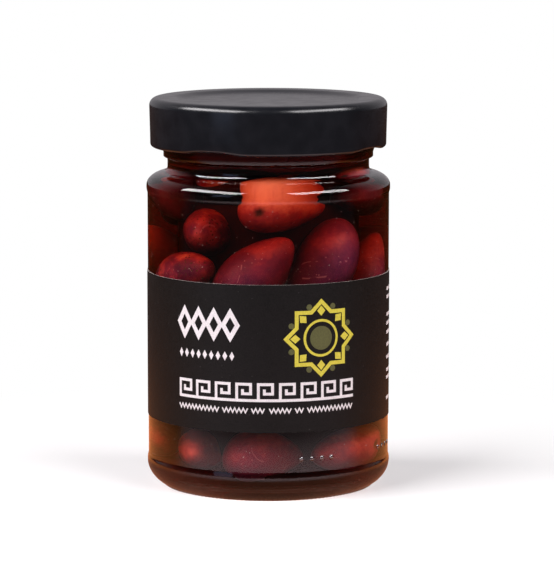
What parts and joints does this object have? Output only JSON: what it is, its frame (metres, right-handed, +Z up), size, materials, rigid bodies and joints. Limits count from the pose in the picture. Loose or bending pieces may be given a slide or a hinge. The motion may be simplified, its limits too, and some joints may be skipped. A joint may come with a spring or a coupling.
{
  "type": "jar of olives",
  "caption": "Wide straight-sided glass jar of dark whole olives in brine, shut with a black twist-off metal lid and wrapped in a dark paper label.",
  "frame": {"origin": "centre of the base, on the plane that the jar stands on", "axes": "+Z up along the jar's axis; -Y is the front of the label"},
  "size_m": [0.0706, 0.0706, 0.1129],
  "materials": {
    "glass": "clear",
    "lid": "satin",
    "label": "satin",
    "label_print": "satin",
    "label_motif": "satin",
    "olive": "satin",
    "brine": "clear"
  },
  "bodies": {
    "root": {"jar_glass": "glass", "lid": "lid", "label": "label", "olives": "olive"}
  },
  "joints": []
}
